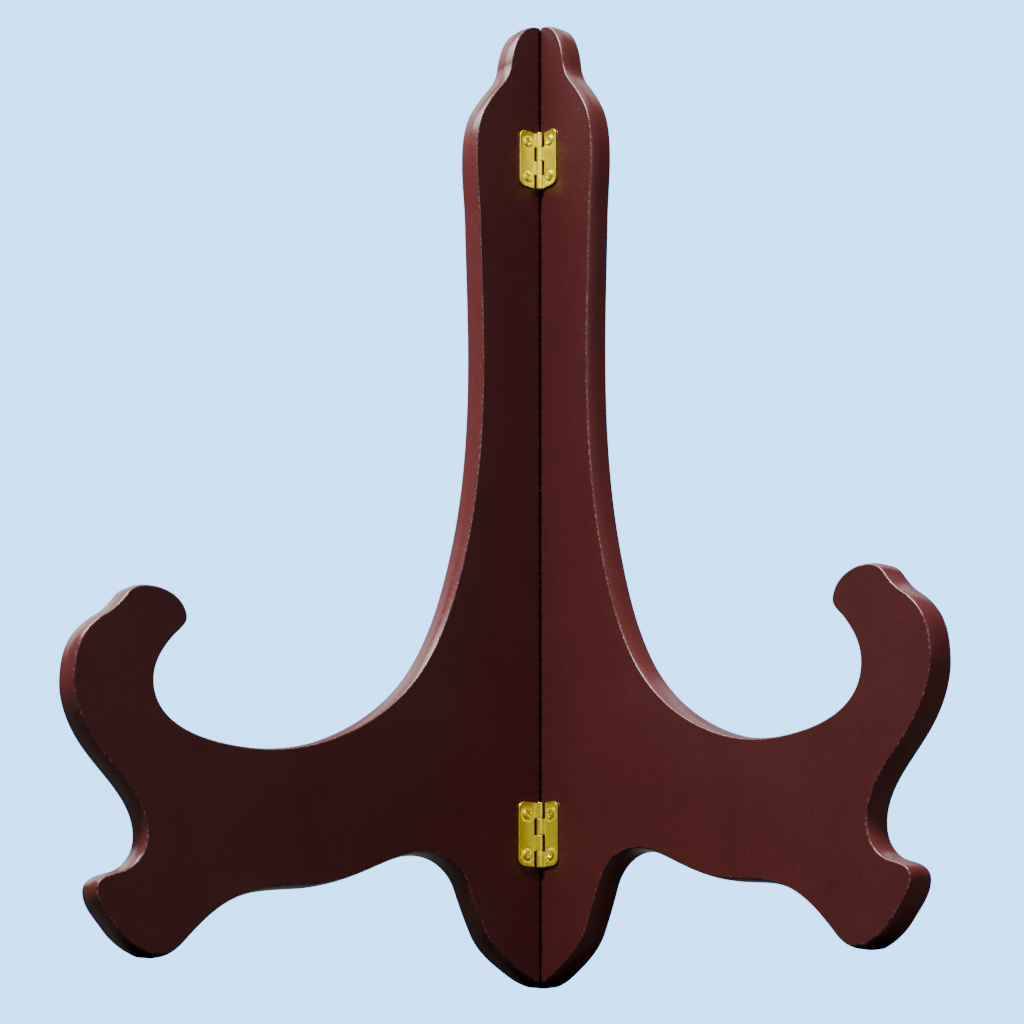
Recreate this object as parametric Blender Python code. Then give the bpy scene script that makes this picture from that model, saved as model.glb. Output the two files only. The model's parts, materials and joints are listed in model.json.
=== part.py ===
"""Plate display stand: two mirrored profile boards that fold on two small brass butt hinges.

Frame: metres, +Z up. The stand is upright on its tail and its two feet, open at its rest angle,
symmetric about the YZ plane, with the hooks towards -Y. The origin is the bottom centre of its box.

Each half of the stand hangs on an empty that lies on the hinge axis. In a half's own axes, X runs
outwards from the axis along the board, Y runs from the board's inner face to its back, and Z is up.
The left half is the mirror image of the right one, so its Y is turned over.
"""
import math

import bmesh
import bpy
from mathutils import Matrix, Vector

MM = 0.001

# Whole stand
OPENING_ANGLE = math.radians(92.0)  # between the inner faces, where the mitred edges meet
HALF_OPENING = OPENING_ANGLE / 2
HEIGHT = 250 * MM
AXIS_Y = 38.25 * MM                 # from the middle of the box to the hinge axis
SMOOTH_ANGLE = math.radians(35.0)   # sharper edges than this stay sharp on round pieces

# Boards
BOARD_THICKNESS = 6.4 * MM
EDGE_ROUND = 0.8 * MM
EDGE_ROUND_STEPS = 1                # rings between the flat face and the edge
MITRE_GAP = 0.3 * MM                # between the two mitred edges as the stand is open
OUTLINE_STEPS = 5                   # straight pieces between two knots of the outline
MITRE_ALLOWANCE = 14 * MM           # board that the mitre cut takes off
MITRE_BLOCK_WIDTH = 42 * MM         # block that makes the mitre cut
MITRE_BLOCK_DEPTH = 56 * MM
WELD_DISTANCE = 0.002 * MM
LEVEL_TOLERANCE = 0.01 * MM          # two knots closer than this in height make a level stretch

# Hinges
HINGE_HEIGHT = 15.8 * MM
UPPER_HINGE_Z = 210.9 * MM
LOWER_HINGE_Z = 35.6 * MM
SHEET = 0.35 * MM
BARREL_RADIUS = 0.80 * MM
BORE_RADIUS = 0.45 * MM
PIN_RADIUS = 0.40 * MM
PIN_CHAMFER = 0.1 * MM
LEAF_REACH = 5.9 * MM               # from the axis to a leaf's outer edge
LEAF_HEIGHT = 15.5 * MM
LEAF_CORNER = 1.7 * MM
LEAF_CORNER_STEPS = 4
LEAF_SEAT_GAP = 0.15 * MM           # between a leaf and the board that it lies on
KNUCKLES = 4
KNUCKLE_GAP = 0.14 * MM
TAB_REACH = 0.3 * MM                # where a leaf's plate ends inside its own knuckle's wall
TAB_STEP = 0.05 * MM                # that plate is this much shorter than the knuckle at each end
SLOT_REACH = 1.35 * MM              # how far a leaf is cut back beside the other leaf's knuckle
FACE_OFFSET = BARREL_RADIUS + LEAF_SEAT_GAP  # from the axis to the plane of an inner face

# Screws
SCREW_REACH = 3.3 * MM              # from the axis to a screw
SCREW_PITCH = 9.8 * MM
HEAD_RADIUS = 1.5 * MM
HEAD_CROWN = 0.35 * MM
CROWN_BEND_RADIUS = 0.9 * MM       # where the crown starts to fall towards the head's rim
CROWN_BEND_RISE = 0.23 * MM
SHANK_RADIUS = 0.65 * MM
SCREW_LENGTH = 5.2 * MM
POINT_LENGTH = 1.2 * MM
POINT_RADIUS = 0.13 * MM
HEAD_CLEARANCE = 0.1 * MM
SHANK_CLEARANCE = 0.2 * MM
CUTTER_RISE = 0.3 * MM              # how far a countersink's cutter stands out of the leaf
ROUND_SIDES = 20

# The board's outline in millimetres, from the top of the knob down its outer side to the tail:
# distance from the line where the inner faces meet, height, and heading of the edge in degrees
# (0 is outwards, -90 is down).
OUTLINE = [
    (0, 250, 0),          # top of the knob
    (9.7, 236.9, -83),    # side of the knob
    (12.5, 230.4, -52),   # notch under the knob
    (18, 222.2, -62),
    (20.8, 207.8, -90),   # shoulder
    (19.7, 190.8, -92),
    (18.4, 151.7, -90),   # narrowest part of the stem
    (23, 104.7, -77),
    (34, 74.6, -59),
    (53, 56.4, -30),
    (82.2, 48.2, 0),      # bottom of the cradle
    (106.4, 60.6, 90),
    (102.1, 70.2, 128),
    (98.7, 75.7, 78),     # tip of the hook
    (107.9, 81.6, 0),     # top of the hook
    (114.6, 78.9, -54),
    (119.2, 73.9, -34),   # notch on the back of the hook
    (125, 67.9, -60),
    (127, 58.6, -90),     # furthest point out
    (121, 44.4, -131),
    (107.4, 25.5, -90),   # ankle
    (113.4, 17.6, -18),
    (119, 13.3, -90),     # toe
    (113.9, 5.3, -132),
    (107.2, 0.7, -158),
    (104.6, 0, -180),     # land under the foot
    (102.3, 0, -180),
    (94.2, 5.7, -226),
    (82, 14.7, -202),
    (65, 18.1, -188),
    (49, 23.1, -204),
    (32.5, 28.4, -180),   # top of the arch between foot and tail
    (21.3, 21.2, -112),
    (16.6, 11.3, -118),
    (8.6, 4, -150),
    (2, 0.7, -162),
    (-1.5, 0, -180),      # land under the tail, which runs on to the mitred edge
]


def clear_scene():
    for item in list(bpy.data.objects):
        bpy.data.objects.remove(item, do_unlink=True)


def make_material(name, colour, roughness, metallic):
    material = bpy.data.materials.new(name)
    material.use_nodes = True
    shader = material.node_tree.nodes["Principled BSDF"]
    shader.inputs["Base Color"].default_value = (*colour, 1.0)
    shader.inputs["Roughness"].default_value = roughness
    shader.inputs["Metallic"].default_value = metallic
    return material


def add_object(name, mesh, parent, material=None):
    item = bpy.data.objects.new(name, mesh)
    bpy.context.scene.collection.objects.link(item)
    item.parent = parent
    if material:
        mesh.materials.append(material)
    return item


def add_cutter(name, mesh, parent):
    cutter = add_object(name, mesh, parent)
    cutter.hide_render = True
    cutter.display_type = "WIRE"
    return cutter


def apply_boolean(target, tool, operation):
    modifier = target.modifiers.new(tool.name, "BOOLEAN")
    modifier.operation = operation
    modifier.solver = "EXACT"
    modifier.object = tool


def shade_round(mesh):
    mesh.shade_smooth()
    mesh.set_sharp_from_angle(angle=SMOOTH_ANGLE)


def mirrored(mesh, hand):
    """Turn a half's Y over for the left half, and keep its faces pointing out."""
    if hand < 0:
        mesh.transform(Matrix.Diagonal((1, -1, 1, 1)))
        mesh.flip_normals()
    return mesh


def half_axis(name, hand):
    """An empty on the hinge axis, whose X axis runs along the board of this half."""
    axis = bpy.data.objects.new(name, None)
    bpy.context.scene.collection.objects.link(axis)
    axis.location = (0, AXIS_Y, 0)
    axis.rotation_euler = (0, 0, -math.pi / 2 + hand * HALF_OPENING)
    return axis


def arc_handle(start, end):
    """Length of the Bezier handles that make the edge between two knots close to an arc."""
    chord = math.hypot(end[0] - start[0], end[1] - start[1])
    turn = abs((end[2] - start[2] + 180) % 360 - 180)
    return chord / (3 * math.cos(math.radians(turn) / 4) ** 2)


def outline_curve():
    """The board's outline as a filled Bezier curve with its edges rounded over."""
    reach = MITRE_ALLOWANCE / MM
    knots = [(-reach, OUTLINE[0][1], 0), *OUTLINE, (-reach, OUTLINE[-1][1], -180)]
    curve = bpy.data.curves.new("board_outline", "CURVE")
    curve.dimensions = "2D"
    curve.fill_mode = "BOTH"
    curve.resolution_u = OUTLINE_STEPS
    curve.extrude = BOARD_THICKNESS / 2 - EDGE_ROUND
    curve.bevel_depth = EDGE_ROUND
    curve.bevel_resolution = EDGE_ROUND_STEPS
    curve.offset = -EDGE_ROUND
    spline = curve.splines.new("BEZIER")
    spline.bezier_points.add(len(knots) - 1)
    spline.use_cyclic_u = True
    for index, (point, knot) in enumerate(zip(spline.bezier_points, knots)):
        heading = Vector((math.cos(math.radians(knot[2])), math.sin(math.radians(knot[2]))))
        before = arc_handle(knots[index - 1], knot)
        after = arc_handle(knot, knots[(index + 1) % len(knots)])
        place = Vector(knot[:2])
        point.co = (*(place * MM), 0)
        point.handle_left_type = "FREE"
        point.handle_right_type = "FREE"
        point.handle_left = (*((place - heading * before) * MM), 0)
        point.handle_right = (*((place + heading * after) * MM), 0)
    straighten_lands(spline.bezier_points)
    return curve


def straighten_lands(points):
    """Make every stretch whose two knots share a height a single straight piece."""
    count = len(points)
    for index in range(count):
        start = points[index]
        end = points[(index + 1) % count]
        level = abs(start.co.y - end.co.y) < LEVEL_TOLERANCE
        closing = abs(start.co.x - end.co.x) < LEVEL_TOLERANCE
        if level or closing:
            start.handle_right_type = "VECTOR"
            end.handle_left_type = "VECTOR"


def board_mesh(hand):
    """The outline's solid, stood up with its inner face FACE_OFFSET behind the hinge axis."""
    curve = outline_curve()
    holder = bpy.data.objects.new("board_outline", curve)
    bpy.context.scene.collection.objects.link(holder)
    bpy.context.view_layer.update()
    evaluated = holder.evaluated_get(bpy.context.evaluated_depsgraph_get())
    mesh = bpy.data.meshes.new_from_object(evaluated)
    bpy.data.objects.remove(holder)
    seam_to_axis = FACE_OFFSET / math.tan(HALF_OPENING)
    middle = FACE_OFFSET + BOARD_THICKNESS / 2
    mesh.transform(Matrix.Translation((-seam_to_axis, middle, 0)) @ Matrix.Rotation(math.pi / 2, 4, "X"))
    shape = bmesh.new()
    shape.from_mesh(mesh)
    bmesh.ops.remove_doubles(shape, verts=shape.verts, dist=WELD_DISTANCE)
    bmesh.ops.recalc_face_normals(shape, faces=shape.faces)
    shape.to_mesh(mesh)
    shape.free()
    return mirrored(mesh, hand)


def mitre_cutter(name, hand, parent):
    """A block on the far side of the stand's middle plane, which trims the board's edge to a mitre."""
    shape = bmesh.new()
    bmesh.ops.create_cube(shape, size=1.0)
    size = Matrix.Diagonal((MITRE_BLOCK_WIDTH, MITRE_BLOCK_DEPTH, 2 * HEIGHT, 1))
    centre = Vector((hand * (MITRE_GAP / 2 - MITRE_BLOCK_WIDTH / 2), 0, HEIGHT / 2))
    turn = Matrix.Rotation(math.pi / 2 - hand * HALF_OPENING, 4, "Z")
    bmesh.ops.transform(shape, matrix=turn @ Matrix.Translation(centre) @ size, verts=shape.verts)
    mesh = bpy.data.meshes.new(name)
    shape.to_mesh(mesh)
    shape.free()
    return add_cutter(name, mesh, parent)


def turned_mesh(name, profile):
    """A solid of revolution about Z from (radius, height) pairs that run from top to bottom."""
    shape = bmesh.new()
    rings = []
    for radius, height in profile:
        if radius == 0:
            rings.append([shape.verts.new((0, 0, height))])
            continue
        ring = []
        for side in range(ROUND_SIDES):
            angle = 2 * math.pi * side / ROUND_SIDES
            ring.append(shape.verts.new((radius * math.cos(angle), radius * math.sin(angle), height)))
        rings.append(ring)
    for upper, lower in zip(rings, rings[1:]):
        for side in range(ROUND_SIDES):
            after = (side + 1) % ROUND_SIDES
            if len(upper) == 1:
                shape.faces.new((upper[0], lower[side], lower[after]))
            elif len(lower) == 1:
                shape.faces.new((upper[side], lower[0], upper[after]))
            else:
                shape.faces.new((upper[side], lower[side], lower[after], upper[after]))
    if len(rings[0]) > 1:
        shape.faces.new(rings[0])
    if len(rings[-1]) > 1:
        shape.faces.new(reversed(rings[-1]))
    mesh = bpy.data.meshes.new(name)
    shape.to_mesh(mesh)
    shape.free()
    shade_round(mesh)
    return mesh


def rod_mesh(name, radius, low, high, chamfer=0.0):
    """An upright rod about Z between two heights."""
    profile = [(radius, high), (radius, low)]
    if chamfer:
        profile = [(radius - chamfer, high), (radius, high - chamfer),
                   (radius, low + chamfer), (radius - chamfer, low)]
    return turned_mesh(name, profile)


def knuckle_span(index, centre):
    """Lowest and highest point of one knuckle, counted from the top of the hinge."""
    length = HINGE_HEIGHT / KNUCKLES
    top = centre + HINGE_HEIGHT / 2 - index * length
    return top - length + KNUCKLE_GAP / 2, top - KNUCKLE_GAP / 2


def owns_knuckle(hand, index):
    """The left leaf has the first and third knuckles from the top, the right leaf the others."""
    return (index % 2 == 0) == (hand < 0)


def plate_mesh(name, hand, centre):
    """The leaf's flat plate, notched beside the other leaf's knuckles, with two round corners."""
    half_height = LEAF_HEIGHT / 2
    points = []
    for quarter, height in ((1, half_height), (-1, -half_height)):
        arc = []
        for step in range(LEAF_CORNER_STEPS + 1):
            angle = math.pi / 2 * step / LEAF_CORNER_STEPS
            arc.append((LEAF_REACH - LEAF_CORNER * (1 - math.sin(angle)),
                        height - quarter * LEAF_CORNER * (1 - math.cos(angle))))
        points += arc if quarter > 0 else reversed(arc)
    for index in reversed(range(KNUCKLES)):
        own = owns_knuckle(hand, index)
        reach = TAB_REACH if own else SLOT_REACH
        step = TAB_STEP if own else -KNUCKLE_GAP - TAB_STEP
        low, high = knuckle_span(index, 0)
        low = max(low + step, -half_height)
        high = min(high - step, half_height)
        points += [(reach, low), (reach, high)]
    shape = bmesh.new()
    verts = [shape.verts.new((x, BARREL_RADIUS - SHEET, z + centre)) for x, z in points]
    face = shape.faces.new(verts)
    grown = bmesh.ops.extrude_face_region(shape, geom=[face])
    moved = [item for item in grown["geom"] if isinstance(item, bmesh.types.BMVert)]
    bmesh.ops.translate(shape, verts=moved, vec=(0, SHEET, 0))
    bmesh.ops.recalc_face_normals(shape, faces=shape.faces)
    mesh = bpy.data.meshes.new(name)
    shape.to_mesh(mesh)
    shape.free()
    return mirrored(mesh, hand)


def shank_profile(head, shank, tip):
    """From the throat under a countersunk head down to the point, tip down."""
    return [(shank, shank - head), (shank, tip + POINT_LENGTH), (POINT_RADIUS, tip), (0, tip)]


def screw_profile():
    """Profile of a countersunk screw along its axis, with its head's rim at height 0."""
    head = [(0, HEAD_CROWN), (CROWN_BEND_RADIUS, CROWN_BEND_RISE), (HEAD_RADIUS, 0)]
    return head + shank_profile(HEAD_RADIUS, SHANK_RADIUS, -SCREW_LENGTH)


def hole_profile():
    """The hole that a screw sits in: the screw grown by its clearances, and open at the top."""
    head = HEAD_RADIUS + HEAD_CLEARANCE
    mouth = [(head + CUTTER_RISE, CUTTER_RISE)]
    shank = SHANK_RADIUS + SHANK_CLEARANCE
    return mouth + shank_profile(head, shank, -SCREW_LENGTH - SHANK_CLEARANCE)


def screw_places(centre):
    return [centre + SCREW_PITCH / 2, centre - SCREW_PITCH / 2]


def screw_mesh(name, profile, hand, height):
    """A screw stood on the leaf's outer surface, pointing into the board."""
    mesh = turned_mesh(name, profile)
    into_board = Matrix.Rotation(math.pi / 2, 4, "X")
    place = Matrix.Translation((SCREW_REACH, BARREL_RADIUS - SHEET, height))
    mesh.transform(place @ into_board)
    return mirrored(mesh, hand)


def add_screws(level, side, hand, centre, axis, material):
    for order, height in zip(("top", "bottom"), screw_places(centre)):
        name = f"{level}_hinge_{side}_{order}_screw"
        add_object(name, screw_mesh(name, screw_profile(), hand, height), axis, material)


def add_leaf(level, side, hand, centre, axis, material):
    """One leaf: its plate with two rolled knuckles, bored for the pin and countersunk."""
    name = f"{level}_hinge_{side}_leaf"
    leaf = add_object(name, plate_mesh(name, hand, centre), axis, material)
    for index in range(KNUCKLES):
        if owns_knuckle(hand, index):
            low, high = knuckle_span(index, centre)
            knuckle = rod_mesh(f"{name}_knuckle_{index}", BARREL_RADIUS, low, high)
            apply_boolean(leaf, add_cutter(knuckle.name, knuckle, axis), "UNION")
    bore = rod_mesh(f"{name}_bore", BORE_RADIUS, centre - HINGE_HEIGHT, centre + HINGE_HEIGHT)
    apply_boolean(leaf, add_cutter(bore.name, bore, axis), "DIFFERENCE")
    for order, height in zip(("top", "bottom"), screw_places(centre)):
        hole = screw_mesh(f"{name}_{order}_hole", hole_profile(), hand, height)
        apply_boolean(leaf, add_cutter(hole.name, hole, axis), "DIFFERENCE")


def drill_board(board, level, hand, centre, axis):
    """Holes in the board for the two screws of one leaf."""
    for order, height in zip(("top", "bottom"), screw_places(centre)):
        name = f"{board.name}_{level}_{order}_pilot"
        hole = screw_mesh(name, hole_profile(), hand, height)
        apply_boolean(board, add_cutter(name, hole, axis), "DIFFERENCE")


def add_half(side, hand, lacquer, brass, levels):
    axis = half_axis(f"{side}_half_axis", hand)
    board = add_object(f"{side}_panel", board_mesh(hand), axis, lacquer)
    apply_boolean(board, mitre_cutter(f"{side}_mitre", hand, axis), "DIFFERENCE")
    for level, centre in levels:
        add_leaf(level, side, hand, centre, axis, brass)
        add_screws(level, side, hand, centre, axis, brass)
        drill_board(board, level, hand, centre, axis)
    return axis


def build():
    clear_scene()
    lacquer = make_material("mahogany_lacquer", (0.075, 0.016, 0.014), 0.28, 0.0)
    brass = make_material("yellow_brass", (0.85, 0.62, 0.12), 0.25, 1.0)
    levels = (("upper", UPPER_HINGE_Z), ("lower", LOWER_HINGE_Z))
    left_axis = add_half("left", -1, lacquer, brass, levels)
    add_half("right", 1, lacquer, brass, levels)
    for level, centre in levels:
        low = centre - HINGE_HEIGHT / 2
        high = centre + HINGE_HEIGHT / 2
        name = f"{level}_hinge_pin"
        pin = rod_mesh(name, PIN_RADIUS, low, high, chamfer=PIN_CHAMFER)
        add_object(name, pin, left_axis, brass)


build()
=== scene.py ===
"""Looks of the plate display stand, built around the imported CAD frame.

Shapes are made in millimetres, in a half's own coordinates (u, w, z), and then turned into the
row frame, in metres. u runs outwards from the hinge axis along the board, w runs from the hinge
axis towards the board's back, and z is up. The left half's coordinates mirror the right half's.
"""
import json
import math

import bmesh
import bpy
import numpy as np
from mathutils import Matrix, Vector


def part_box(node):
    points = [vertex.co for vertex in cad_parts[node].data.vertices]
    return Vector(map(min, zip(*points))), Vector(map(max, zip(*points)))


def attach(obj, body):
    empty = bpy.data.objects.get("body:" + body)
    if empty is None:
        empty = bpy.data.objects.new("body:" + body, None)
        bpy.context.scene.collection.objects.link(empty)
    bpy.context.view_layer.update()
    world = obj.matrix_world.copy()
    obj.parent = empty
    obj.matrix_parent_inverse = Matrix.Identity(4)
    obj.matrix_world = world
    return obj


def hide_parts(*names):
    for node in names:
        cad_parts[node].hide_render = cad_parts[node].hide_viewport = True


MM = 0.001

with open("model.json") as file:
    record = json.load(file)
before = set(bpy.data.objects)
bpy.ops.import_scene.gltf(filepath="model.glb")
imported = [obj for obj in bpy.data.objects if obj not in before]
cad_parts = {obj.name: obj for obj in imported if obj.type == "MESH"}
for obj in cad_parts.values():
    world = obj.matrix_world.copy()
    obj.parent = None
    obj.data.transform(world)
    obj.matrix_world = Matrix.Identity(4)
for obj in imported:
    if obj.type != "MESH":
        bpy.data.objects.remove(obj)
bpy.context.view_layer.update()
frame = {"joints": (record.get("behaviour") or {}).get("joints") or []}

# Frame facts
JOINT = frame["joints"][0]
AXIS_Y = JOINT["pos_m"][1]
HALF_OPENING = math.radians(-JOINT["range_deg"][0]) / 2
SIN = math.sin(HALF_OPENING)
COS = math.cos(HALF_OPENING)
HANDS = {"left": -1, "right": 1}
LEVELS = ("upper", "lower")

# Boards, in millimetres
FACE = 0.95           # from the hinge axis to the plane of an inner face
THICKNESS = 6.4
LIP_ROUND = 0.45      # rounding where the inner face meets the edge
CROWN_ANGLE = math.radians(73)    # how far round the lip goes; from there the edge is an arch
BACK_ROUND = 0.8      # rounding where the edge meets the outer face
LIP_STEPS = 7
CROWN_STEPS = 7
BACK_STEPS = 9
RIDGE_ROUND = 0.47    # rounding of the seam's back corner
SEAM_GAP = 0.002      # from the stand's middle plane to each mitred edge, behind the groove
GROOVE_HALF = 0.24    # half the groove's width at the inner face, before its lips are rounded
GROOVE_DEPTH = 1.7
GROOVE_ROUND = 0.20   # rounding of the groove's lips
OUTLINE_STEP = 0.9    # about the longest distance between two points of the outline

# Hinges, in millimetres
SHEET = 0.35
BARREL = 0.80         # outer radius of the knuckles
LEAF_REACH = 5.9
LEAF_HALF = 7.75
LEAF_CORNER = 1.7
HINGE_HALF = 7.9
KNUCKLES = 4
KNUCKLE_GAP = 0.14
SLOT_REACH = 1.35
ROLL_END = math.radians(300)
SHEET_BEVEL = 0.11
BEVEL_SEGMENTS = 3
BEVEL_ABOVE = math.radians(50)    # only edges that turn more than this are softened
LEAF_SHARP = math.radians(38)     # and above this they are shaded as sharp
PLATE_COLUMNS = 24    # grid lines of the sheet from its outer edge to the barrel's slots
NECK_COLUMNS = (0.9, 0.5, 0.25)    # u of the grid lines from there to the roll
ROLL_COLUMNS = 31
KNUCKLE_ROWS = 17
PIN_RADIUS = 0.40
PIN_DOME = 0.16       # height of the pin's domed ends
DOME_STEPS = 6
PIN_SIDES = 32
PIN_SHARP = math.radians(40)
SCREW_REACH = 3.3
SCREW_OFFSET = 4.9
HOLE_RADIUS = 1.56
HOLE_SIDES = 48
CUTTER_LENGTH = 2.0
DISH_RADIUS = 2.1     # the sheet is pressed in round each screw
DISH_DEPTH = 0.10

# Screws, in millimetres
HEAD_RADIUS = 1.5
HEAD_CROWN = 0.35
HEAD_CELLS = 40       # squares across the grid that the head is made from
RECESS_REACH = 0.92   # half the length of the cross recess
RECESS_RAMP = 0.5     # how far in from there it gets to its full depth
RECESS_HALF = 0.27    # half the width of the cross recess
RECESS_WALL = 0.12    # how far in from there its wall slopes
RECESS_DEPTH = 0.55
HEAD_LEVELS = ((0.0, -0.08), (0.15, -0.22))    # the head's side: how far in from its rim, height
SHANK_RADIUS = 0.65
SHANK_TOP = -0.95
SCREW_LENGTH = 5.2
THREAD_TOP = -1.3
THREAD_TURNS = 9
THREAD_DEPTH = 0.14
THREAD_RISE = 0.12    # from a root of the thread to the next crest
THREAD_LENGTH = 3.0
TIP_LEVELS = ((0.45, 0.8), (0.1, 0.0))    # radius, and height above the point
SCREW_SHARP = math.radians(32)
SCREW_TURNS = (0.3, 1.1, 0.7, 0.1, 0.9, 0.45, 1.3, 0.6)    # how far each is turned, in radians

# Distance from the line where the inner faces meet, height, and heading of the edge in degrees
OUTLINE = [
    (-8, 250, 0), (0, 250, 0), (9.7, 236.9, -83), (12.5, 230.4, -52), (18, 222.2, -62),
    (20.8, 207.8, -90), (19.7, 190.8, -92), (18.4, 151.7, -90), (23, 104.7, -77), (34, 74.6, -59),
    (53, 56.4, -30), (82.2, 48.2, 0), (106.4, 60.6, 90), (102.1, 70.2, 128), (98.7, 75.7, 78),
    (107.9, 81.6, 0), (114.6, 78.9, -54), (119.2, 73.9, -34), (125, 67.9, -60), (127, 58.6, -90),
    (121, 44.4, -131), (107.4, 25.5, -90), (113.4, 17.6, -18), (119, 13.3, -90),
    (113.9, 5.3, -132), (107.2, 0.7, -158),
    (104.6, 0, -180), (102.3, 0, -180), (94.2, 5.7, -226), (82, 14.7, -202), (65, 18.1, -188),
    (49, 23.1, -204), (32.5, 28.4, -180), (21.3, 21.2, -112), (16.6, 11.3, -118),
    (8.6, 4, -150), (2, 0.7, -162), (-1.5, 0, -180), (-8, 0, -180),
]
END_REACH = 7.5       # closer to the seam than this, both ends are fitted to the mitred edge


def to_world(points, hand):
    """(u, w, z) in millimetres to the row frame in metres, for one half."""
    points = np.asarray(points, float) * MM
    u, w, z = points[:, 0], points[:, 1], points[:, 2]
    return np.stack([hand * (u * SIN + w * COS), AXIS_Y - u * COS + w * SIN, z], axis=1)


def turn_to_world(vectors, hand):
    """The same turn for directions."""
    vectors = np.asarray(vectors, float)
    u, w, z = vectors[:, 0], vectors[:, 1], vectors[:, 2]
    return np.stack([hand * (u * SIN + w * COS), -u * COS + w * SIN, z], axis=1)


def link(item):
    bpy.context.scene.collection.objects.link(item)
    return item


# ---------------------------------------------------------------- boards

def outline_samples():
    """Points along the outline and their outward normals, measured as OUTLINE is."""
    places = []
    normals = []
    for start, end in zip(OUTLINE, OUTLINE[1:]):
        p0 = np.array(start[:2], float)
        p3 = np.array(end[:2], float)
        chord = np.linalg.norm(p3 - p0)
        level = p0[1] == p3[1]
        turn = abs((end[2] - start[2] + 180) % 360 - 180)
        # A handle this long keeps an even turn close to a circular arc
        handle = chord / (3 * math.cos(math.radians(turn) / 4) ** 2)
        a0, a3 = math.radians(start[2]), math.radians(end[2])
        p1 = p0 + handle * np.array([math.cos(a0), math.sin(a0)])
        p2 = p3 - handle * np.array([math.cos(a3), math.sin(a3)])
        if level:
            p1, p2 = p0 + (p3 - p0) / 3, p0 + (p3 - p0) * 2 / 3
        count = max(4, math.ceil(chord / OUTLINE_STEP))
        for t in np.arange(count) / count:
            s = 1 - t
            places.append(s**3 * p0 + 3 * s * s * t * p1 + 3 * s * t * t * p2 + t**3 * p3)
            d = s * s * (p1 - p0) + 2 * s * t * (p2 - p1) + t * t * (p3 - p2)
            normals.append(np.array([-d[1], d[0]]) / np.linalg.norm(d))
    places.append(np.array(OUTLINE[-1][:2], float))
    normals.append(np.array([0.0, -1.0]))
    return np.array(places), np.array(normals)


def fit_end(inner, turned, end, edge):
    """Squeezes one end of a ring's outline, listed towards the seam, to stop at the mitred edge."""
    u = inner[end, 0]
    reach = u[0] + (u - u[0]) * (edge - u[0]) / (u[-1] - u[0])
    rising = np.argsort(u)
    inner[end, 1] = np.interp(reach, u[rising], inner[end, 1][rising])
    for axis in (0, 1):
        turned[end, axis] = np.interp(reach, u[rising], turned[end, axis][rising])
    inner[end, 0] = reach


def ring_outline(places, normals, inset, edge):
    """The outline moved in by a ring's inset, its two ends stopping at the mitred edge."""
    inner = places - normals * inset
    turned = normals.copy()
    near = np.flatnonzero(places[:, 0] < END_REACH)
    middle = len(places) // 2
    fit_end(inner, turned, near[near < middle][::-1], edge)
    fit_end(inner, turned, near[near > middle], edge)
    return inner, turned


def depth_rings():
    """Depth from the inner face, inset of the outline, and angle of the surface at each ring."""
    sine, cosine = math.sin(CROWN_ANGLE), math.cos(CROWN_ANGLE)
    crown = (THICKNESS / 2 - LIP_ROUND * (1 - cosine)) / cosine
    rings = []
    for angle in np.linspace(0, CROWN_ANGLE, LIP_STEPS + 1)[:-1]:
        inset = crown * (1 - sine) + LIP_ROUND * (sine - math.sin(angle))
        rings.append((LIP_ROUND * (1 - math.cos(angle)), inset, angle))
    for angle in np.linspace(CROWN_ANGLE, math.pi / 2, CROWN_STEPS + 1):
        depth = LIP_ROUND * (1 - cosine) + crown * (cosine - math.cos(angle))
        rings.append((depth, crown * (1 - math.sin(angle)), angle))
    for angle in np.linspace(math.pi / 2, math.pi, BACK_STEPS + 1):
        depth = THICKNESS - BACK_ROUND * (1 + math.cos(angle))
        rings.append((depth, BACK_ROUND * (1 - math.sin(angle)), angle))
    return rings


def seam_edge(depth):
    """u of the mitred edge at a depth from the inner face, and its outward direction in (u, w)."""
    slope = COS / SIN
    middle_u = -(FACE + depth) * slope
    back = THICKNESS - depth
    ridge_reach = RIDGE_ROUND / math.tan(HALF_OPENING / 2)
    ridge_centre = -(FACE + THICKNESS) * slope + SEAM_GAP / SIN + ridge_reach
    if back < ridge_reach * SIN:
        rise = RIDGE_ROUND - back
        run = math.sqrt(max(RIDGE_ROUND**2 - rise**2, 0.0))
        return ridge_centre - run, (-run / RIDGE_ROUND, rise / RIDGE_ROUND)
    gap = SEAM_GAP + (GROOVE_HALF - SEAM_GAP) * max(0.0, 1 - depth / GROOVE_DEPTH)
    lip = max(0.0, 1 - depth / GROOVE_ROUND)
    gap += GROOVE_ROUND * (1 - math.sqrt(1 - lip**2))
    return middle_u + gap / SIN, (-SIN, -COS)


def turn_over(faces, corner_normals):
    """The same faces with their corners in the opposite order, for a mirror image."""
    flipped = [tuple(reversed(face)) for face in faces]
    flipped_normals = []
    cursor = 0
    for face in faces:
        flipped_normals += list(reversed(corner_normals[cursor:cursor + len(face)]))
        cursor += len(face)
    return flipped, flipped_normals


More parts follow.
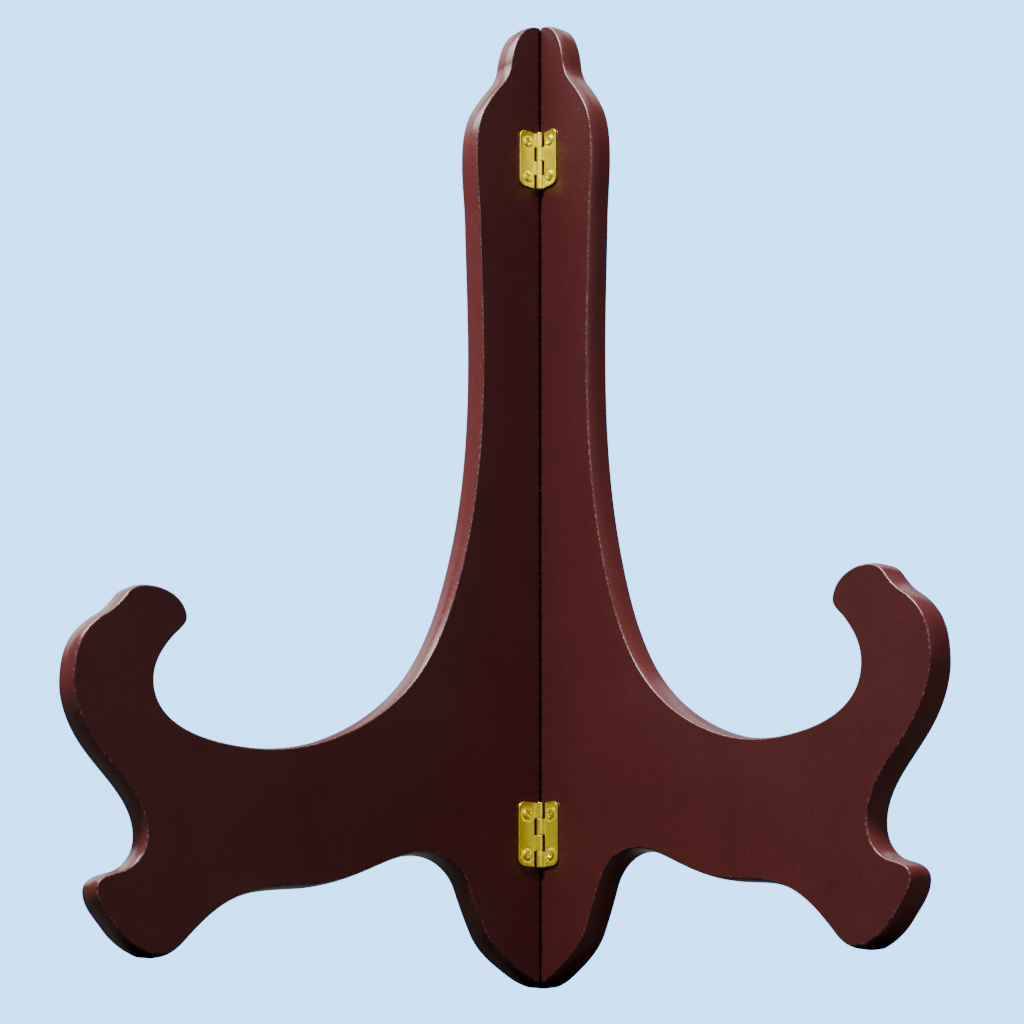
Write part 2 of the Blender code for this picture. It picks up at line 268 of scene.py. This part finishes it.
def board_mesh(name, hand):
    """One board: rings of the outline from the inner face to the outer one, and the two faces."""
    places, normals = outline_samples()
    shift = FACE * COS / SIN
    rings = depth_rings()
    count = len(places)
    points = []
    tilt = []
    rim = []
    seam_tilt = []
    for depth, inset, angle in rings:
        edge_u, (seam_u, seam_w) = seam_edge(depth)
        sine, cosine = math.sin(angle), math.cos(angle)
        seam_tilt.append((seam_u, seam_w, 0))
        for inner, normal in zip(*ring_outline(places, normals, inset, edge_u + shift)):
            points.append((inner[0] - shift, FACE + depth, inner[1]))
            tilt.append((normal[0] * sine, -cosine, normal[1] * sine))
        rim += [sine] * count
    faces = []
    corner_normals = []
    tilt = turn_to_world(tilt, hand)
    seam_tilt = turn_to_world(seam_tilt, hand)
    cap_front = turn_to_world([(0, -1, 0)], hand)[0]
    cap_back = -cap_front
    for ring in range(len(rings) - 1):
        here, there = ring * count, (ring + 1) * count
        for index in range(count):
            after = (index + 1) % count
            faces.append((here + index, here + after, there + after, there + index))
            if after == 0:
                corner_normals += [seam_tilt[ring]] * 2 + [seam_tilt[ring + 1]] * 2
            else:
                corner_normals += [tilt[here + index], tilt[here + after],
                                   tilt[there + after], tilt[there + index]]
    last = (len(rings) - 1) * count
    faces.append(tuple(reversed(range(count))))
    corner_normals += [cap_front] * count
    faces.append(tuple(range(last, last + count)))
    corner_normals += [cap_back] * count
    if hand < 0:
        faces, corner_normals = turn_over(faces, corner_normals)
    mesh = bpy.data.meshes.new(name)
    mesh.from_pydata([tuple(p) for p in to_world(points, hand)], [], faces)
    mesh.shade_smooth()
    mesh.normals_split_custom_set([tuple(n) for n in corner_normals])
    board = mesh.attributes.new("board", "FLOAT_VECTOR", "POINT")
    board.data.foreach_set("vector", (np.array(points) * MM).astype(np.float32).ravel())
    edge = mesh.attributes.new("rim", "FLOAT", "POINT")
    edge.data.foreach_set("value", np.array(rim, np.float32))
    return mesh


# ---------------------------------------------------------------- hinges

def knuckle_span(index):
    """Lowest and highest point of one knuckle from the hinge's middle, counted from the top."""
    length = 2 * HINGE_HALF / KNUCKLES
    top = HINGE_HALF - index * length
    return top - length + KNUCKLE_GAP / 2, top - KNUCKLE_GAP / 2


def leaf_place(u, z, top):
    """Where a grid point of the sheet lies: the plate is a little shorter than the barrel, with
    its outer corners rounded by turning the corner's square rings into arcs."""
    fixed = HINGE_HALF / 2
    side = math.copysign(1.0, z)
    z = abs(z)
    if z > fixed:
        z = fixed + (z - fixed) * (LEAF_HALF - fixed) / (top - fixed)
    across = u - (LEAF_REACH - LEAF_CORNER)
    up = z - (LEAF_HALF - LEAF_CORNER)
    if across > 0 and up > 0:
        scale = max(across, up) / math.hypot(across, up)
        u += across * (scale - 1)
        z += up * (scale - 1)
    return u, side * z


def leaf_sheet(hand):
    """The sheet's middle surface: the plate and, at its own knuckles, the roll round the pin."""
    middle = BARREL - SHEET / 2
    path = [(u, middle) for u in np.linspace(LEAF_REACH, SLOT_REACH, PLATE_COLUMNS)]
    slot_column = len(path) - 1
    path += [(u, middle) for u in NECK_COLUMNS]
    for angle in np.linspace(0, ROLL_END, ROLL_COLUMNS):
        path.append((-middle * math.sin(angle), middle * math.cos(angle)))
    rows = []
    for index in reversed(range(KNUCKLES)):
        rows += list(np.linspace(*knuckle_span(index), KNUCKLE_ROWS))
    shape = bmesh.new()
    grid = []
    for column, (u, w) in enumerate(path):
        spots = [leaf_place(u, z, rows[-1]) if column <= slot_column else (u, z) for z in rows]
        grid.append([shape.verts.new((x, w, z)) for x, z in spots])
    for column in range(len(path) - 1):
        for row in range(len(rows) - 1):
            knuckle = KNUCKLES - 1 - row // KNUCKLE_ROWS
            in_gap = (row + 1) % KNUCKLE_ROWS == 0
            own = (knuckle % 2 == 0) == (hand < 0)
            if column >= slot_column and (in_gap or not own):
                continue
            shape.faces.new((grid[column][row], grid[column + 1][row],
                             grid[column + 1][row + 1], grid[column][row + 1]))
    loose = [v for v in shape.verts if not v.link_faces]
    bmesh.ops.delete(shape, geom=loose, context="VERTS")
    for vert in shape.verts:
        if vert.co.x < SLOT_REACH:
            continue
        for side in (-1, 1):
            away = math.hypot(vert.co.x - SCREW_REACH, vert.co.z - side * SCREW_OFFSET)
            share = min(1.0, max(0.0, (DISH_RADIUS - away) / (DISH_RADIUS - HEAD_RADIUS)))
            vert.co.y += DISH_DEPTH * share * share * (3 - 2 * share)
    return shape


def bake(item):
    """Applies the object's modifiers and returns its new mesh."""
    graph = bpy.context.evaluated_depsgraph_get()
    mesh = bpy.data.meshes.new_from_object(item.evaluated_get(graph))
    mesh.name = item.name
    old = item.data
    item.modifiers.clear()
    item.data = mesh
    bpy.data.meshes.remove(old)
    return mesh


def hole_cutter(side):
    """A rod through the leaf where a screw goes."""
    shape = bmesh.new()
    middle = Matrix.Translation((SCREW_REACH, BARREL, side * SCREW_OFFSET))
    place = middle @ Matrix.Rotation(math.pi / 2, 4, "X")
    bmesh.ops.create_cone(shape, cap_ends=True, segments=HOLE_SIDES, radius1=HOLE_RADIUS,
                          radius2=HOLE_RADIUS, depth=CUTTER_LENGTH, matrix=place)
    mesh = bpy.data.meshes.new("hole_cutter")
    shape.to_mesh(mesh)
    shape.free()
    return link(bpy.data.objects.new("hole_cutter", mesh))


def place_in_world(mesh, hand, height):
    """Turns a mesh made in (u, w, z) millimetres about a hinge's middle into the row frame."""
    count = len(mesh.vertices)
    places = np.zeros(count * 3, np.float32)
    mesh.vertices.foreach_get("co", places)
    places = places.reshape(-1, 3).astype(float)
    local = mesh.attributes.new("board", "FLOAT_VECTOR", "POINT")
    local.data.foreach_set("vector", ((places + [0, 0, height]) * MM).astype(np.float32).ravel())
    world = to_world(places + [0, 0, height], hand)
    mesh.vertices.foreach_set("co", world.astype(np.float32).ravel())
    if hand < 0:
        mesh.flip_normals()
    mesh.update()


def make_leaf(name, hand, height):
    """A leaf with its knuckles: the sheet given its thickness, soft edges and two screw holes."""
    shape = leaf_sheet(hand)
    bmesh.ops.recalc_face_normals(shape, faces=shape.faces)
    mesh = bpy.data.meshes.new(name)
    shape.to_mesh(mesh)
    shape.free()
    leaf = link(bpy.data.objects.new(name, mesh))
    solid = leaf.modifiers.new("sheet", "SOLIDIFY")
    solid.thickness = SHEET
    solid.offset = 0
    solid.use_even_offset = True
    bevel = leaf.modifiers.new("edges", "BEVEL")
    bevel.width = SHEET_BEVEL
    bevel.segments = BEVEL_SEGMENTS
    bevel.limit_method = "ANGLE"
    bevel.angle_limit = BEVEL_ABOVE
    cutters = [hole_cutter(side) for side in (-1, 1)]
    for cutter in cutters:
        hole = leaf.modifiers.new("hole", "BOOLEAN")
        hole.operation = "DIFFERENCE"
        hole.solver = "EXACT"
        hole.object = cutter
    mesh = bake(leaf)
    for cutter in cutters:
        bpy.data.objects.remove(cutter)
    place_in_world(mesh, hand, height)
    mesh.shade_smooth()
    mesh.set_sharp_from_angle(angle=LEAF_SHARP)
    return leaf


def head_height(x, y):
    """The screw head's surface above its rim: a low dome with a cross recess."""
    away = math.hypot(x, y)
    ball = (HEAD_RADIUS**2 + HEAD_CROWN**2) / (2 * HEAD_CROWN)
    dome = HEAD_CROWN - ball + math.sqrt(ball**2 - min(away, HEAD_RADIUS) ** 2)
    depth = 0.0
    for along, across in ((abs(x), abs(y)), (abs(y), abs(x))):
        arm = min(1.0, max(0.0, (RECESS_REACH - along) / RECESS_RAMP))
        wall = min(1.0, max(0.0, (RECESS_HALF - across) / RECESS_WALL))
        depth = max(depth, RECESS_DEPTH * arm * wall)
    return dome - depth


def screw_levels():
    """Radius and height of the rings below the head's rim, down to the point."""
    levels = [(HEAD_RADIUS - inset, z) for inset, z in HEAD_LEVELS] + [(SHANK_RADIUS, SHANK_TOP)]
    root = SHANK_RADIUS - THREAD_DEPTH
    for turn in range(THREAD_TURNS):
        z = THREAD_TOP - turn * THREAD_LENGTH / THREAD_TURNS
        levels += [(root, z), (SHANK_RADIUS, z - THREAD_RISE), (root, z - 2 * THREAD_RISE)]
    return levels + [(radius, above - SCREW_LENGTH) for radius, above in TIP_LEVELS]


def head_grid(shape):
    """The head's top, a square grid drawn out to a disc. Returns its rim's vertices in order."""
    cells = HEAD_CELLS
    grid = {}
    for i in range(cells + 1):
        for j in range(cells + 1):
            a, b = 2 * i / cells - 1, 2 * j / cells - 1
            square = max(abs(a), abs(b))
            round_share = square**2
            length = math.hypot(a, b) or 1.0
            scale = (1 - round_share) + round_share * square / length
            x, y = a * scale * HEAD_RADIUS, b * scale * HEAD_RADIUS
            grid[i, j] = shape.verts.new((x, y, head_height(x, y)))
    for i in range(cells):
        for j in range(cells):
            shape.faces.new((grid[i, j], grid[i + 1, j], grid[i + 1, j + 1], grid[i, j + 1]))
    rim = [grid[i, 0] for i in range(cells)] + [grid[cells, j] for j in range(cells)]
    rim += [grid[i, cells] for i in range(cells, 0, -1)]
    return rim + [grid[0, j] for j in range(cells, 0, -1)]


def make_screw(name, hand, height, side, turn):
    """A countersunk screw with a domed, cross-recessed head, pointing into the board."""
    shape = bmesh.new()
    rim = head_grid(shape)
    ring = rim
    count = len(rim)
    for radius, z in screw_levels():
        below = []
        for vert in rim:
            angle = math.atan2(vert.co.y, vert.co.x)
            below.append(shape.verts.new((radius * math.cos(angle), radius * math.sin(angle), z)))
        for k in range(count):
            after = (k + 1) % count
            shape.faces.new((ring[after], ring[k], below[k], below[after]))
        ring = below
    shape.faces.new(list(reversed(ring)))
    seat = Matrix.Translation((SCREW_REACH, BARREL - SHEET, side * SCREW_OFFSET))
    stand = seat @ Matrix.Rotation(math.pi / 2, 4, "X") @ Matrix.Rotation(turn, 4, "Z")
    bmesh.ops.transform(shape, matrix=stand, verts=shape.verts)
    bmesh.ops.recalc_face_normals(shape, faces=shape.faces)
    mesh = bpy.data.meshes.new(name)
    shape.to_mesh(mesh)
    shape.free()
    place_in_world(mesh, hand, height)
    mesh.shade_smooth()
    mesh.set_sharp_from_angle(angle=SCREW_SHARP)
    return link(bpy.data.objects.new(name, mesh))


def make_pin(name, height):
    """A wire pin with low domed ends."""
    shape = bmesh.new()
    profile = [(0.0, HINGE_HALF)]
    for step in range(1, DOME_STEPS + 1):
        angle = math.pi / 2 * step / DOME_STEPS
        fall = PIN_DOME * (1 - math.cos(angle))
        profile.append((PIN_RADIUS * math.sin(angle), HINGE_HALF - fall))
    profile += [(radius, -z) for radius, z in reversed(profile)]
    angles = [2 * math.pi * k / PIN_SIDES for k in range(PIN_SIDES)]
    rings = []
    for radius, z in profile:
        spots = [(radius * math.cos(a), radius * math.sin(a), z) for a in angles]
        rings.append([shape.verts.new(spot) for spot in (spots if radius else [(0, 0, z)])])
    for upper, lower in zip(rings, rings[1:]):
        for k in range(PIN_SIDES):
            after = (k + 1) % PIN_SIDES
            corners = [upper[k % len(upper)], lower[k % len(lower)],
                       lower[after % len(lower)], upper[after % len(upper)]]
            shape.faces.new(list(dict.fromkeys(corners)))
    mesh = bpy.data.meshes.new(name)
    shape.to_mesh(mesh)
    shape.free()
    place_in_world(mesh, 1, height)
    mesh.shade_smooth()
    mesh.set_sharp_from_angle(angle=PIN_SHARP)
    return link(bpy.data.objects.new(name, mesh))


# ---------------------------------------------------------------- materials

# Colours are linear; FINE places the noises in millimetres of the board or leaf
LACQUER_DARK = (0.044, 0.0092, 0.0088)
LACQUER_LIGHT = (0.058, 0.0122, 0.0116)
LACQUER_EDGE = (0.120, 0.0215, 0.0205)
# Pale colour of the lip between face and edge: partly rubbed wear, partly a painted highlight
LACQUER_RUBBED_AND_HIGHLIGHT = (0.42, 0.22, 0.21)
LACQUER_ROUGHNESS = 0.25
DUST = (0.20, 0.12, 0.12)
BRASS_BRIGHT = (1.0, 0.90, 0.060)
BRASS_DEEP = (0.98, 0.81, 0.030)
FINE = (1000.0, 1000.0, 1000.0)
GRAIN_PER_MM = (1.9, 1.9, 0.05)       # the grain runs up the board
ROLLING_PER_MM = (4.0, 4.0, 0.4)      # and the rolling lines up the leaf
FLOOR_PALE = ((0.74, 0.76, 0.78), (0.78, 0.79, 0.80))
FLOOR_BOUNCE = (0.05, 0.05, 0.05)     # the floor to other rays than the camera's
FLOOR_FADE = (0.5, 1.6)      # metres from the stand over which the floor melts into the backdrop


class Nodes:
    """Short calls for building a material's node tree."""

    def __init__(self, name):
        self.material = bpy.data.materials.new(name)
        self.material.use_nodes = True
        self.tree = self.material.node_tree
        self.tree.nodes.clear()

    def new(self, kind, inputs=None, **settings):
        node = self.tree.nodes.new(kind)
        for key, value in settings.items():
            setattr(node, key, value)
        for key, value in (inputs or {}).items():
            self.set(node.inputs[key], value)
        return node

    def set(self, socket, value):
        if isinstance(value, bpy.types.NodeSocket):
            self.tree.links.new(value, socket)
        else:
            socket.default_value = value

    def attribute(self, name, output):
        node = self.new("ShaderNodeAttribute", attribute_name=name)
        return node.outputs[output]

    def math(self, operation, a, b=0.0, clamp=False):
        node = self.new("ShaderNodeMath", operation=operation, use_clamp=clamp)
        self.set(node.inputs[0], a)
        self.set(node.inputs[1], b)
        return node.outputs[0]

    def stretch(self, vector, scale):
        node = self.new("ShaderNodeVectorMath", operation="MULTIPLY")
        self.set(node.inputs[0], vector)
        self.set(node.inputs[1], scale)
        return node.outputs[0]

    def noise(self, vector, scale, detail=2.0, roughness=0.5, distortion=0.0):
        node = self.new("ShaderNodeTexNoise", {
            "Vector": vector, "Scale": scale, "Detail": detail,
            "Roughness": roughness, "Distortion": distortion})
        return node.outputs["Fac"]

    def fit(self, value, low, high, to_low=0.0, to_high=1.0, smooth=False):
        node = self.new("ShaderNodeMapRange", {
            "Value": value, "From Min": low, "From Max": high, "To Min": to_low, "To Max": to_high})
        if smooth:
            node.interpolation_type = "SMOOTHSTEP"
        return node.outputs[0]

    def mix(self, factor, a, b):
        node = self.new("ShaderNodeMix", data_type="RGBA")
        self.set(node.inputs[0], factor)
        self.set(node.inputs[6], (*a, 1.0) if isinstance(a, tuple) else a)
        self.set(node.inputs[7], (*b, 1.0) if isinstance(b, tuple) else b)
        return node.outputs[2]

    def finish(self, shader):
        output = self.new("ShaderNodeOutputMaterial")
        self.tree.links.new(shader, output.inputs["Surface"])
        return self.material


def lacquer_material():
    """Dark mahogany under satin lacquer: faint grain, mottling, dust nibs, and rubbed edges whose
    pale colour is partly wear and partly a painted highlight along the lip.
    """
    n = Nodes("mahogany_lacquer_look")
    place = n.stretch(n.attribute("board", "Vector"), FINE)
    rim = n.attribute("rim", "Fac")
    grain = n.noise(n.stretch(place, GRAIN_PER_MM), 1.0, 4.0, 0.6, 0.4)
    cloud = n.noise(place, 0.04, 3.0, 0.55)
    fine = n.noise(place, 0.9, 3.0, 0.6)
    peel = n.noise(place, 1.7, 2.0, 0.5)
    fillet = n.math("MULTIPLY", rim, n.math("SUBTRACT", 1.0, rim))
    fillet = n.math("MULTIPLY", fillet, 4.0, clamp=True)

    shade = n.math("ADD", n.math("MULTIPLY", cloud, 0.5), n.math("MULTIPLY", grain, 0.3))
    shade = n.math("ADD", shade, n.math("MULTIPLY", fine, 0.2))
    colour = n.mix(n.fit(shade, 0.34, 0.66), LACQUER_DARK, LACQUER_LIGHT)
    band = n.fit(rim, 0.7, 1.0)
    colour = n.mix(n.math("MULTIPLY", band, 0.5), colour, LACQUER_EDGE)
    # Broken pale line along the lip: partly rubbed wear, partly a painted highlight standing in for
    # the lip's gloss line
    rub_and_highlight = n.math("MULTIPLY", fillet, n.fit(n.noise(place, 1.3, 3.0, 0.7), 0.48, 0.66))
    colour = n.mix(n.math("MULTIPLY", rub_and_highlight, 0.35), colour, LACQUER_RUBBED_AND_HIGHLIGHT)

    cells = n.new("ShaderNodeTexVoronoi", {"Vector": place, "Scale": 0.16, "Randomness": 1.0})
    dot = n.fit(cells.outputs["Distance"], 0.012, 0.034, 1.0, 0.0, smooth=True)
    chosen = n.new("ShaderNodeSeparateColor", {"Color": cells.outputs["Color"]})
    nib = n.math("MULTIPLY", dot, n.math("GREATER_THAN", chosen.outputs[0], 0.55))
    colour = n.mix(n.math("MULTIPLY", nib, 0.55), colour, DUST)

    gloss = n.math("ADD", n.fit(cloud, 0.3, 0.7, -0.03, 0.03), n.fit(fine, 0.3, 0.7, -0.05, 0.05))
    rough = n.math("ADD", gloss, n.math("MULTIPLY", rub_and_highlight, 0.12))
    rough = n.math("ADD", rough, LACQUER_ROUGHNESS, clamp=True)

    height = n.math("ADD", n.math("MULTIPLY", peel, 0.6), n.math("MULTIPLY", grain, 0.25))
    height = n.math("ADD", height, n.math("MULTIPLY", nib, 0.8))
    height = n.math("ADD", height, n.math("MULTIPLY", rub_and_highlight, 0.5))
    bump = n.new("ShaderNodeBump", {"Height": height, "Strength": 0.55, "Distance": 0.00003})
    shader = n.new("ShaderNodeBsdfPrincipled", {
        "Base Color": colour, "Roughness": rough, "Normal": bump.outputs[0],
        "Specular IOR Level": 0.30, "Coat Weight": 0.12, "Coat Roughness": 0.25})
    return n.finish(shader.outputs[0])


def brass_material():
    """Bright pressed brass sheet: fine rolling lines, slight tarnish and soft dents."""
    n = Nodes("yellow_brass_look")
    place = n.stretch(n.attribute("board", "Vector"), FINE)
    lines = n.noise(n.stretch(place, ROLLING_PER_MM), 1.0, 2.0, 0.5)
    tarnish = n.noise(place, 0.8, 3.0, 0.6)
    dents = n.noise(place, 1.2, 1.0, 0.4)
    colour = n.mix(n.fit(tarnish, 0.35, 0.7), BRASS_BRIGHT, BRASS_DEEP)
    rough = n.math("ADD", n.fit(lines, 0.3, 0.7, 0.26, 0.32), n.fit(tarnish, 0.4, 0.7, 0.0, 0.08))
    height = n.math("ADD", n.math("MULTIPLY", lines, 0.1), dents)
    bump = n.new("ShaderNodeBump", {"Height": height, "Strength": 0.5, "Distance": 0.00005})
    shader = n.new("ShaderNodeBsdfPrincipled", {
        "Base Color": colour, "Metallic": 0.92, "Roughness": rough, "Normal": bump.outputs[0]})
    return n.finish(shader.outputs[0])


def floor_material():
    """Plain pale studio floor, seen from above only, because the camera is lower than the feet."""
    n = Nodes("studio_floor")
    place = n.new("ShaderNodeTexCoord").outputs["Object"]
    patch = n.noise(place, 3.0, 2.0)
    colour = n.mix(patch, *FLOOR_PALE)
    seen = n.new("ShaderNodeLightPath").outputs["Is Camera Ray"]
    matt = n.new("ShaderNodeBsdfDiffuse", {"Color": n.mix(seen, FLOOR_BOUNCE, colour)})
    clear = n.new("ShaderNodeBsdfTransparent")
    below = n.new("ShaderNodeNewGeometry").outputs["Backfacing"]
    reach = n.new("ShaderNodeVectorMath", {0: place}, operation="LENGTH").outputs["Value"]
    far = n.fit(reach, *FLOOR_FADE, smooth=True)
    blend = n.new("ShaderNodeMixShader")
    n.set(blend.inputs[0], n.math("MAXIMUM", below, far))
    n.set(blend.inputs[1], matt.outputs[0])
    n.set(blend.inputs[2], clear.outputs[0])
    return n.finish(blend.outputs[0])


# ---------------------------------------------------------------- stage

BACKDROP = (0.18, 0.52, 1.0, 1.0)
BACKDROP_SEEN = 5.0
SKY = (0.80, 0.90, 1.0, 1.0)
SKY_LEAN = 0.2        # the room's light follows how far back a direction goes, plus this part of up
ROOM_LIGHT = (0.88, 0.99, 0.14, 0.50)   # from and to: how far back and up, and the light there
FLOOR_HALF = 6.0
LIT_POINT = (0.0, 0.0, 0.12)
# Name, place, side lengths, watts and colour
LIGHTS = (
    ("key", (-0.345, -0.53, 1.14), (0.28, 0.28), 36.0, (1.0, 0.98, 0.95)),
    ("softbox", (-0.65, -0.09, 1.18), (0.7, 0.7), 19.0, (1.0, 0.99, 0.98)),
    ("overhead", (0.05, -0.20, 1.35), (1.1, 1.1), 9.0, (0.97, 0.98, 1.0)),
    ("window", (-0.90, 0.85, 0.95), (0.9, 0.9), 4.0, (0.97, 0.98, 1.0)),
    ("sky", (0.10, 0.81, 1.14), (0.9, 0.7), 2.2, (0.95, 0.98, 1.0)),
    ("fill", (0.66, -0.90, 0.58), (0.5, 0.5), 3.2, (1.0, 0.97, 0.95)),
)
CAMERA_PLACE = (0.0703, -0.57505, -0.0605)
CAMERA_TURN = math.radians(7.18)
CAMERA_TILT = math.radians(90 + 15.99)
CAMERA_ROLL = math.radians(0.14)
CAMERA_LENS = 90.66


def add_light(name, place, size, power, colour):
    data = bpy.data.lights.new(name, "AREA")
    data.shape = "RECTANGLE"
    data.size, data.size_y = size
    data.energy = power
    data.color = colour
    light = link(bpy.data.objects.new(name, data))
    light.location = place
    light.rotation_mode = "QUATERNION"
    light.rotation_quaternion = (Vector(LIT_POINT) - light.location).to_track_quat("-Z", "Y")


def studio_world():
    """Even pale backdrop to the eye; as a light it is dim, but for a patch straight behind."""
    world = bpy.data.worlds.new("studio")
    world.use_nodes = True
    tree = world.node_tree
    tree.nodes.clear()
    new = tree.nodes.new
    wire = tree.links.new

    seen = new("ShaderNodeBackground")
    seen.inputs["Color"].default_value = BACKDROP
    seen.inputs["Strength"].default_value = BACKDROP_SEEN
    room = new("ShaderNodeBackground")
    room.inputs["Color"].default_value = SKY
    parts = new("ShaderNodeSeparateXYZ")
    wire(new("ShaderNodeTexCoord").outputs["Generated"], parts.inputs[0])
    lean = new("ShaderNodeMath")
    lean.operation = "MULTIPLY_ADD"
    lean.inputs[1].default_value = SKY_LEAN
    wire(parts.outputs["Z"], lean.inputs[0])
    wire(parts.outputs["Y"], lean.inputs[2])
    level = new("ShaderNodeMapRange")
    level.interpolation_type = "SMOOTHSTEP"
    for key, value in zip(("From Min", "From Max", "To Min", "To Max"), ROOM_LIGHT):
        level.inputs[key].default_value = value
    wire(lean.outputs[0], level.inputs["Value"])
    wire(level.outputs[0], room.inputs["Strength"])
    blend = new("ShaderNodeMixShader")
    wire(new("ShaderNodeLightPath").outputs["Is Camera Ray"], blend.inputs[0])
    wire(room.outputs[0], blend.inputs[1])
    wire(seen.outputs[0], blend.inputs[2])
    wire(blend.outputs[0], new("ShaderNodeOutputWorld").inputs["Surface"])
    return world


def add_stage():
    mesh = bpy.data.meshes.new("floor")
    corners = [(x * FLOOR_HALF, y * FLOOR_HALF, 0) for x, y in ((-1, -1), (1, -1), (1, 1), (-1, 1))]
    mesh.from_pydata(corners, [], [(0, 1, 2, 3)])
    floor = link(bpy.data.objects.new("floor", mesh))
    mesh.materials.append(floor_material())
    bpy.context.scene.world = studio_world()
    for light in LIGHTS:
        add_light(*light)


def add_camera():
    data = bpy.data.cameras.new("camera")
    data.sensor_width = 36.0
    data.lens = CAMERA_LENS
    data.clip_start = 0.01
    data.clip_end = 50.0
    camera = link(bpy.data.objects.new("camera", data))
    turn = Matrix.Rotation(CAMERA_TURN, 4, "Z")
    tilt = Matrix.Rotation(CAMERA_TILT, 4, "X")
    roll = Matrix.Rotation(CAMERA_ROLL, 4, "Z")
    camera.matrix_world = Matrix.Translation(CAMERA_PLACE) @ turn @ tilt @ roll
    bpy.context.scene.camera = camera


# ---------------------------------------------------------------- build

def show(item, material, body, node):
    """Gives a piece its look and its body, and puts it in place of its CAD node."""
    item.data.materials.clear()
    item.data.materials.append(material)
    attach(item, body)
    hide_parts(node)


def build():
    lacquer = lacquer_material()
    brass = brass_material()
    for side, hand in HANDS.items():
        node = f"{side}_panel"
        board = link(bpy.data.objects.new(f"{node}_look", board_mesh(node, hand)))
        show(board, lacquer, f"{side}_half", node)
    turns = iter(SCREW_TURNS)
    for level in LEVELS:
        low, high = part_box(f"{level}_hinge_pin")
        height = (low.z + high.z) / 2 / MM
        pin = make_pin(f"{level}_hinge_pin_look", height)
        show(pin, brass, "left_half", f"{level}_hinge_pin")
        for side, hand in HANDS.items():
            node = f"{level}_hinge_{side}_leaf"
            leaf = make_leaf(f"{node}_look", hand, height)
            show(leaf, brass, f"{side}_half", node)
            for order, up in (("top", 1), ("bottom", -1)):
                node = f"{level}_hinge_{side}_{order}_screw"
                screw = make_screw(f"{node}_look", hand, height, up, next(turns))
                show(screw, brass, f"{side}_half", node)
    add_stage()
    add_camera()


build()
